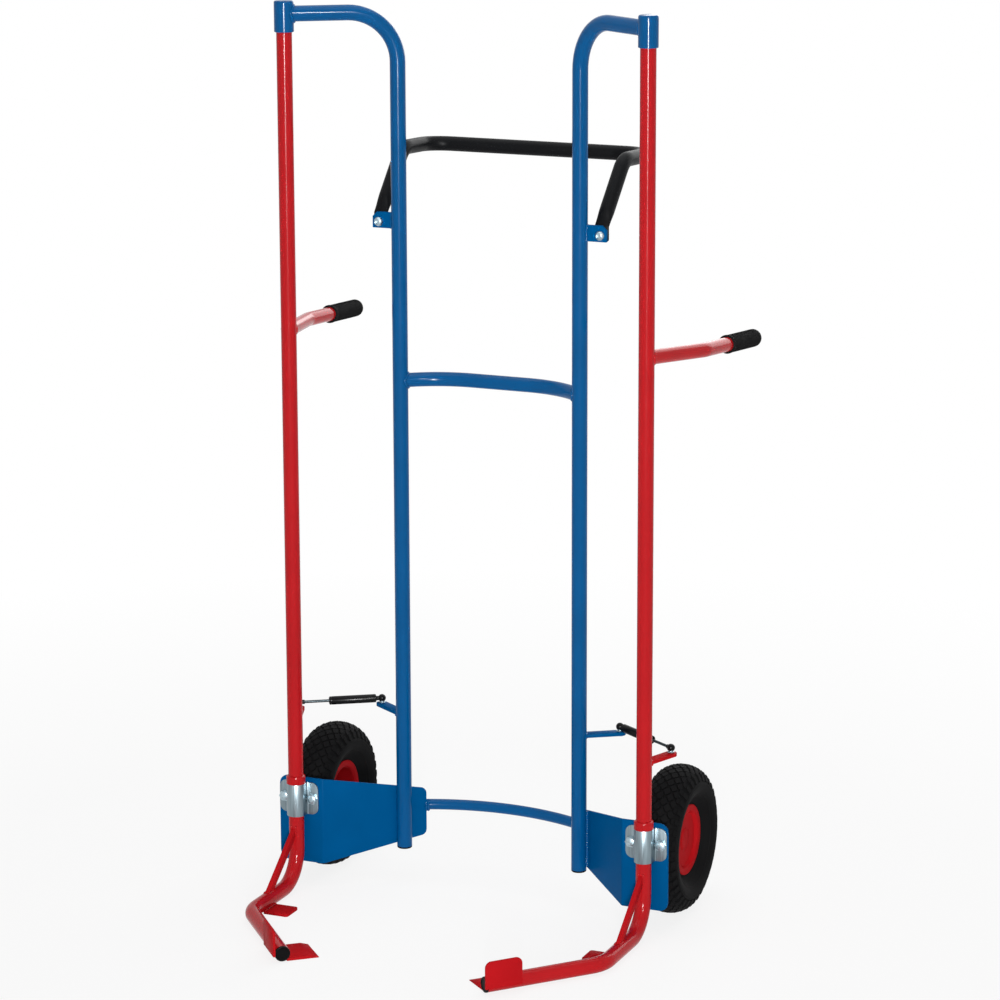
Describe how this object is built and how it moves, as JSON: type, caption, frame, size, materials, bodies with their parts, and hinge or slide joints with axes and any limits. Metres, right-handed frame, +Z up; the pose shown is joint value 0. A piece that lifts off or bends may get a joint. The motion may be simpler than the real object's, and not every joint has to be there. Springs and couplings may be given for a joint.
{
  "type": "tyre hand truck",
  "caption": "Tubular steel hand truck for tyres: fixed upright frame on pneumatic wheels, swivelling load arms with foot plates, side handles and gas springs.",
  "frame": {"origin": "floor point under the middle of the overall box, on the truck's mirror plane", "axes": "+X to the right arm, +Y towards the operator (load side is -Y), +Z up"},
  "size_m": [0.7964, 0.7516, 1.5725],
  "materials": {
    "blue_paint": "gloss powder coat",
    "red_paint": "gloss powder coat",
    "black_plastic": "moulded",
    "grip_rubber": "moulded matt",
    "black_coat": "satin powder coat",
    "zinc": "zinc plated",
    "rod_steel": "ground and plated",
    "tyre": "moulded rubber",
    "rim_red": "gloss"
  },
  "bodies": {
    "frame": {"axle_bar": "blue_paint", "clamp_bolts": "zinc", "clamp_nuts": "zinc", "handle_bolts": "zinc", "handle_nuts": "zinc", "left_axle_cap": "zinc", "left_frame_ball_stud": "zinc", "left_handle_lug": "blue_paint", "left_pipe_clamp": "zinc", "left_spring_bracket": "blue_paint", "left_top_sleeve": "blue_paint", "left_upright": "blue_paint", "left_upright_plug": "black_plastic", "left_wheel_plate": "blue_paint", "mid_crossbar": "blue_paint", "push_handle": "black_coat", "right_axle_cap": "zinc", "right_frame_ball_stud": "zinc", "right_handle_lug": "blue_paint", "right_pipe_clamp": "zinc", "right_spring_bracket": "blue_paint", "right_top_sleeve": "blue_paint", "right_upright": "blue_paint", "right_upright_plug": "black_plastic", "right_wheel_plate": "blue_paint"},
    "left_arm": {"left_arm_ball_stud": "zinc", "left_arm_brace": "red_paint", "left_arm_collar": "red_paint", "left_arm_tube": "red_paint", "left_foot_plug": "black_plastic", "left_grip": "grip_rubber", "left_handle_tube": "red_paint", "left_heel_plate": "red_paint", "left_spring_lever": "red_paint", "left_stop_tab": "red_paint", "left_toe_plate": "red_paint"},
    "left_gas_cylinder": {"left_gas_cylinder": "black_coat"},
    "left_gas_rod": {"left_gas_rod": "rod_steel"},
    "left_wheel": {"left_hub_cover": "rim_red", "left_rim": "rim_red", "left_tyre": "tyre", "left_wheel_bearings": "zinc"},
    "right_arm": {"right_arm_ball_stud": "zinc", "right_arm_brace": "red_paint", "right_arm_collar": "red_paint", "right_arm_tube": "red_paint", "right_foot_plug": "black_plastic", "right_grip": "grip_rubber", "right_handle_tube": "red_paint", "right_heel_plate": "red_paint", "right_spring_lever": "red_paint", "right_stop_tab": "red_paint", "right_toe_plate": "red_paint"},
    "right_gas_cylinder": {"right_gas_cylinder": "black_coat"},
    "right_gas_rod": {"right_gas_rod": "rod_steel"},
    "right_wheel": {"right_hub_cover": "rim_red", "right_rim": "rim_red", "right_tyre": "tyre", "right_wheel_bearings": "zinc"}
  },
  "joints": [
    {"name": "right_arm_swivel", "type": "hinge", "parent": "frame", "child": "right_arm", "pos_m": [0.329, -0.01173, 0.2], "axis": [0, 0, 1], "range_deg": [0, 25], "stiffness_Nm_per_rad": 12, "springref_deg": -57.3},
    {"name": "right_wheel_spin", "type": "hinge", "parent": "frame", "child": "right_wheel", "pos_m": [0.331, 0.14002, 0.13], "axis": [1, 0, 0], "continuous": true},
    {"name": "right_gas_cylinder_pivot", "type": "hinge", "parent": "frame", "child": "right_gas_cylinder", "pos_m": [0.228, 0.13427, 0.3215], "axis": [0, 0, 1], "range_deg": [-10, 1]},
    {"name": "right_gas_rod_pivot", "type": "hinge", "parent": "right_arm", "child": "right_gas_rod", "pos_m": [0.353, 0.05287, 0.3215], "axis": [0, 0, 1], "range_deg": [-35, 1]},
    {"name": "left_arm_swivel", "type": "hinge", "parent": "frame", "child": "left_arm", "pos_m": [-0.329, -0.01173, 0.2], "axis": [0, 0, -1], "range_deg": [0, 25], "stiffness_Nm_per_rad": 12, "springref_deg": -57.3},
    {"name": "left_wheel_spin", "type": "hinge", "parent": "frame", "child": "left_wheel", "pos_m": [-0.331, 0.14002, 0.13], "axis": [1, 0, 0], "continuous": true},
    {"name": "left_gas_cylinder_pivot", "type": "hinge", "parent": "frame", "child": "left_gas_cylinder", "pos_m": [-0.228, 0.13427, 0.3215], "axis": [0, 0, -1], "range_deg": [-10, 1]},
    {"name": "left_gas_rod_pivot", "type": "hinge", "parent": "left_arm", "child": "left_gas_rod", "pos_m": [-0.353, 0.05287, 0.3215], "axis": [0, 0, -1], "range_deg": [-35, 1]}
  ],
  "couplings": [
    {"joint": "right_gas_cylinder_pivot", "follows": "right_arm_swivel", "ratio": -0.215},
    {"joint": "right_gas_rod_pivot", "follows": "right_arm_swivel", "ratio": -1.215},
    {"joint": "left_gas_cylinder_pivot", "follows": "left_arm_swivel", "ratio": -0.215},
    {"joint": "left_gas_rod_pivot", "follows": "left_arm_swivel", "ratio": -1.215}
  ]
}
